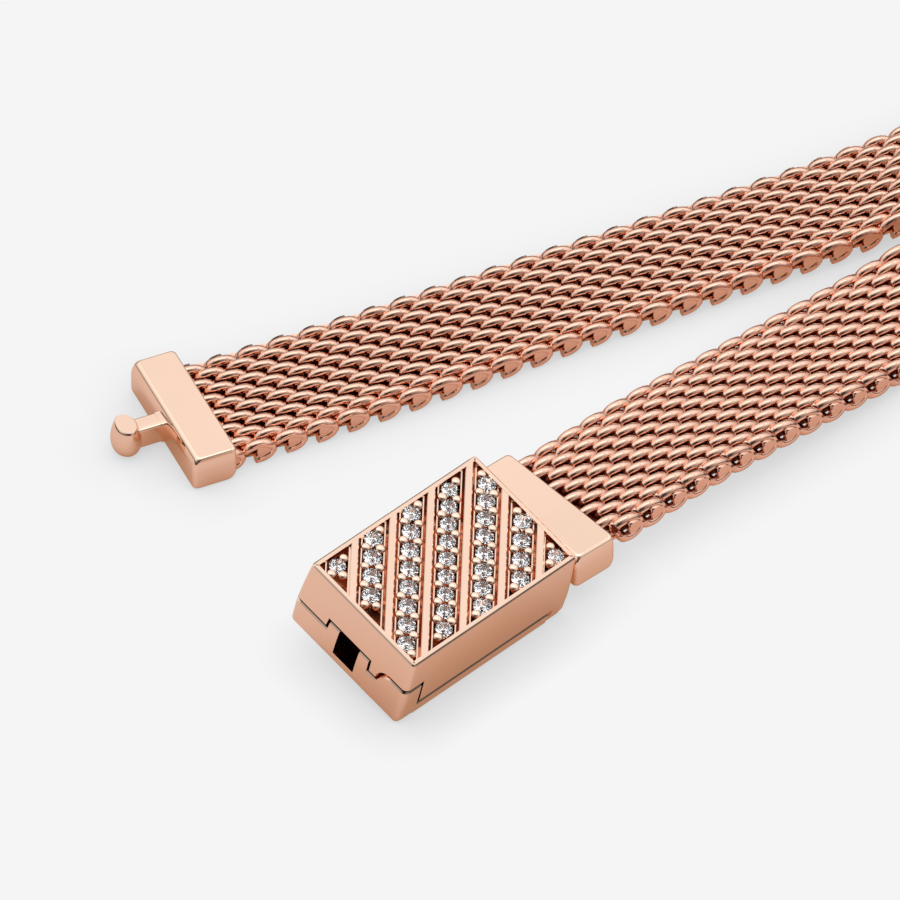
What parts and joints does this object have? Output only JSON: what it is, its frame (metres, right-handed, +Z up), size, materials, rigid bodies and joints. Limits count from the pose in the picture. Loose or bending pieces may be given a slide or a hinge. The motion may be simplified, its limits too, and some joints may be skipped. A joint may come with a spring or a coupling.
{
  "type": "mesh bracelet",
  "caption": "Woven mesh bracelet lying open, with an end cap and stud on one end and a stone-set box clasp on the other.",
  "frame": {"origin": "middle of the bracelet's footprint, on the surface that it lies on", "axes": "+X along the bracelet from its two ends toward the turned loop, +Y from the clasp's end toward the stud's end, +Z up"},
  "size_m": [0.0866, 0.0332, 0.008],
  "materials": {
    "weave_metal": "polished rose-coloured metal",
    "rose_metal": "mirror-polished rose-coloured metal",
    "clear_stone": "cut and polished"
  },
  "bodies": {
    "bracelet": {"mesh_band": "weave_metal", "stud_end_cap": "rose_metal", "clasp_end_cap": "rose_metal", "clasp_case": "rose_metal", "hinge_pin": "rose_metal", "stone_1_1": "clear_stone", "stone_2_1": "clear_stone", "stone_2_2": "clear_stone", "stone_2_3": "clear_stone", "stone_2_4": "clear_stone", "stone_3_1": "clear_stone", "stone_3_2": "clear_stone", "stone_3_3": "clear_stone", "stone_3_4": "clear_stone", "stone_3_5": "clear_stone", "stone_3_6": "clear_stone", "stone_3_7": "clear_stone", "stone_3_8": "clear_stone", "stone_4_1": "clear_stone", "stone_4_2": "clear_stone", "stone_4_3": "clear_stone", "stone_4_4": "clear_stone", "stone_4_5": "clear_stone", "stone_4_6": "clear_stone", "stone_4_7": "clear_stone", "stone_4_8": "clear_stone", "stone_4_9": "clear_stone", "stone_5_1": "clear_stone", "stone_5_2": "clear_stone", "stone_5_3": "clear_stone", "stone_5_4": "clear_stone", "stone_5_5": "clear_stone", "stone_5_6": "clear_stone", "stone_5_7": "clear_stone", "stone_5_8": "clear_stone", "stone_6_1": "clear_stone", "stone_6_2": "clear_stone", "stone_6_3": "clear_stone", "stone_6_4": "clear_stone", "stone_7_1": "clear_stone"},
    "door": {"clasp_door": "rose_metal"}
  },
  "joints": [
    {"name": "door_hinge", "type": "hinge", "parent": "bracelet", "child": "door", "pos_m": [-0.02987, -0.00864, 0.00165], "axis": [0.1936, -0.943, -0.2706], "range_deg": [0, 45]}
  ]
}
